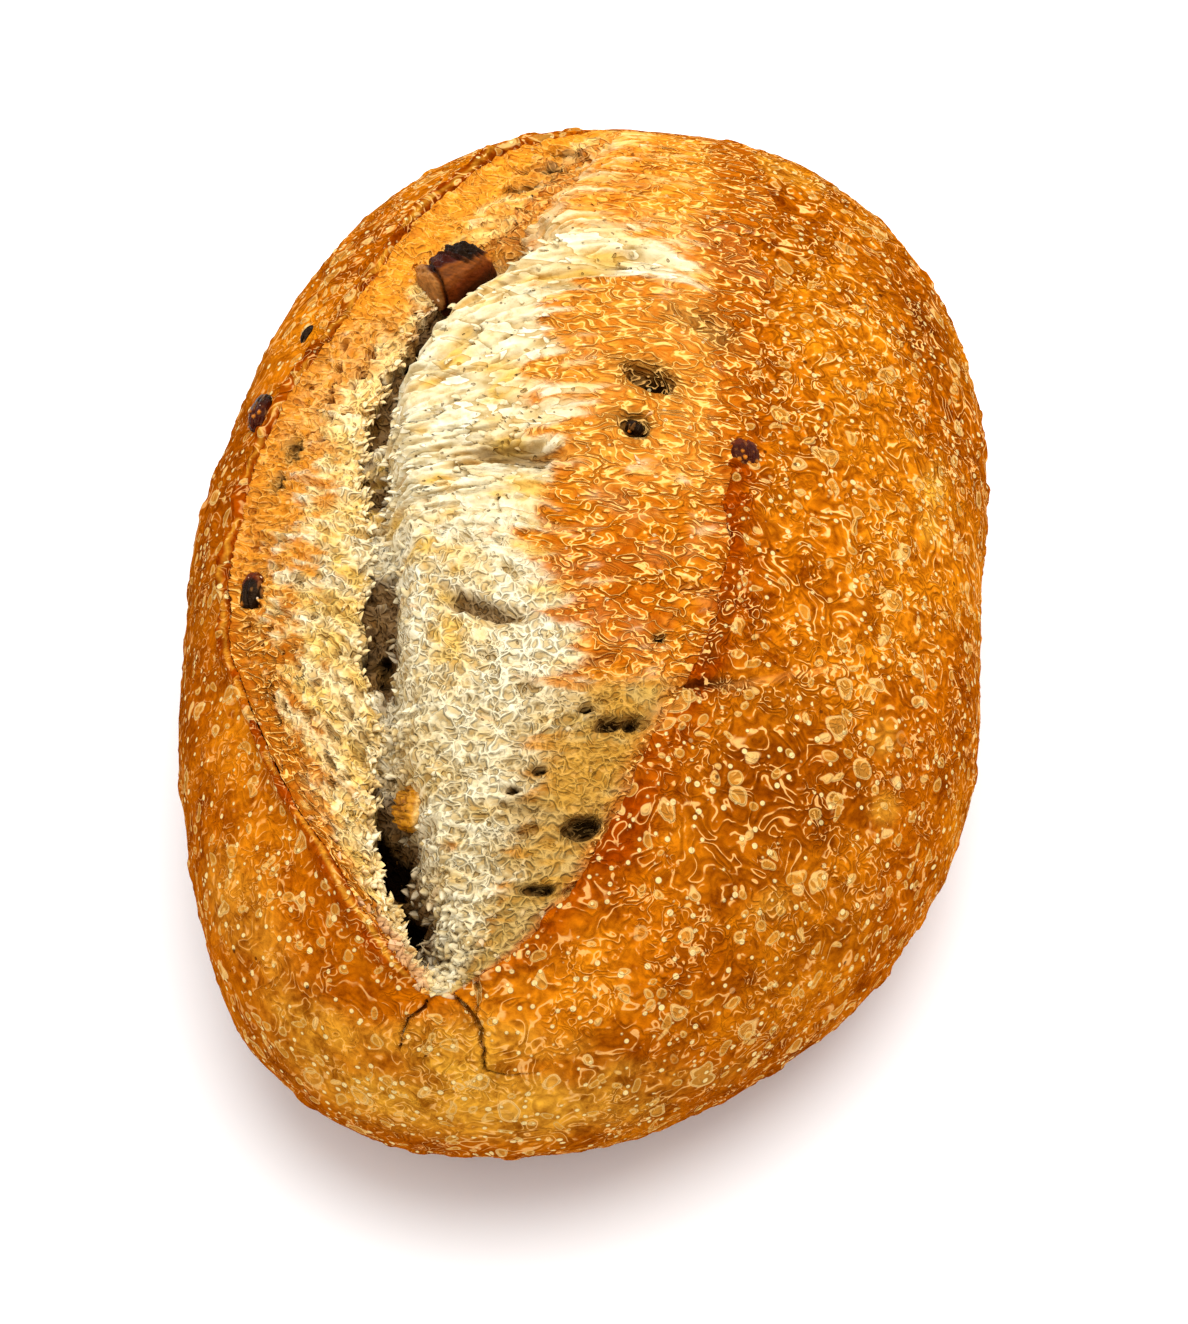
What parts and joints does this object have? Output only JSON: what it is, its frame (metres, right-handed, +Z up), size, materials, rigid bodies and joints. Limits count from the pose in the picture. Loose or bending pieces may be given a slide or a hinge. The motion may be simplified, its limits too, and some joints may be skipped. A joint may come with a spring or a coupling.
{
  "type": "sourdough loaf",
  "caption": "Oval sourdough loaf with a golden crust, torn open along one side of its crown to show pale crumb with dried fruit baked in, resting on a flat base.",
  "frame": {"origin": "centre of the loaf's plan outline, on the flat base it rests on", "axes": "+Z up out of the crown; +Y along the loaf towards its wider end; the torn side of the crown is towards -X"},
  "size_m": [0.1668, 0.2491, 0.0973],
  "materials": {
    "crust": "baked, satin, mottled gold to orange-brown over pale crumb",
    "dried_fruit": "dark, sticky and half glossy",
    "peel": "golden, waxy"
  },
  "bodies": {
    "root": {"loaf": "crust", "fruit_chunk": "dried_fruit", "fruit_bit_lip": "dried_fruit", "fruit_bit_shoulder": "dried_fruit", "fruit_bit_crust": "dried_fruit", "fruit_bit_bloom": "dried_fruit", "fruit_bit_ridge": "dried_fruit", "peel_bit": "peel"}
  },
  "joints": []
}
